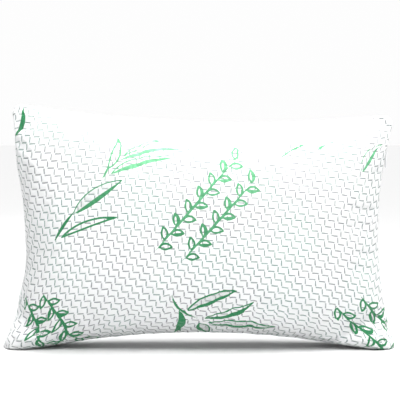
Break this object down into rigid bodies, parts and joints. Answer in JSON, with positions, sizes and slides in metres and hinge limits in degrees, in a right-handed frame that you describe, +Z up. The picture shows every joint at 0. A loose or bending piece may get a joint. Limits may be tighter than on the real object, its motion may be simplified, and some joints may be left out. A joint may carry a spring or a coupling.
{
  "type": "bed pillow",
  "caption": "Stuffed rectangular bed pillow with a quilted knit cover that zips at one end, standing on its long edge, with the inner pillow inside.",
  "frame": {"origin": "on the floor under the middle of the pillow as it stands on its long edge", "axes": "+X along the pillow's length towards the zip end, +Y through its thickness from the patterned front to the back, +Z up"},
  "size_m": [0.6886, 0.16, 0.4239],
  "materials": {
    "cover_knit": "matte",
    "cover_seam_thread": "matte",
    "liner_cloth": "matte",
    "liner_seam_thread": "matte",
    "foam": "matte",
    "zip_tape": "matte",
    "zip_coil": "satin",
    "zip_stop": "satin",
    "zip_slider": "satin"
  },
  "bodies": {
    "pillow": {"cover_front_panel": "cover_knit", "cover_back_panel": "cover_knit", "cover_top_seam": "cover_seam_thread", "cover_bottom_seam": "cover_seam_thread", "cover_left_seam": "cover_seam_thread", "cover_upper_right_seam": "cover_seam_thread", "cover_lower_right_seam": "cover_seam_thread", "liner_front_panel": "liner_cloth", "liner_back_panel": "liner_cloth", "liner_top_seam": "liner_seam_thread", "liner_bottom_seam": "liner_seam_thread", "liner_left_seam": "liner_seam_thread", "liner_closing_seam": "liner_seam_thread", "foam_fill": "foam", "zip_tape_front": "zip_tape", "zip_tape_back": "zip_tape", "zip_coil_front": "zip_coil", "zip_coil_back": "zip_coil", "zip_top_stop_front": "zip_stop", "zip_top_stop_back": "zip_stop", "zip_bottom_stop": "zip_stop"},
    "slider": {"zip_slider": "zip_slider"},
    "pull": {"zip_pull": "zip_slider"}
  },
  "joints": [
    {"name": "slider_run", "type": "hinge", "parent": "pillow", "child": "slider", "pos_m": [1.01275, 0, 0.2114], "axis": [0, -1, 0], "range_deg": [0, 23.67]},
    {"name": "pull_swing", "type": "hinge", "parent": "slider", "child": "pull", "pos_m": [0.3251, 0, 0.33899], "axis": [0, -1, 0], "range_deg": [-4, 140]}
  ]
}
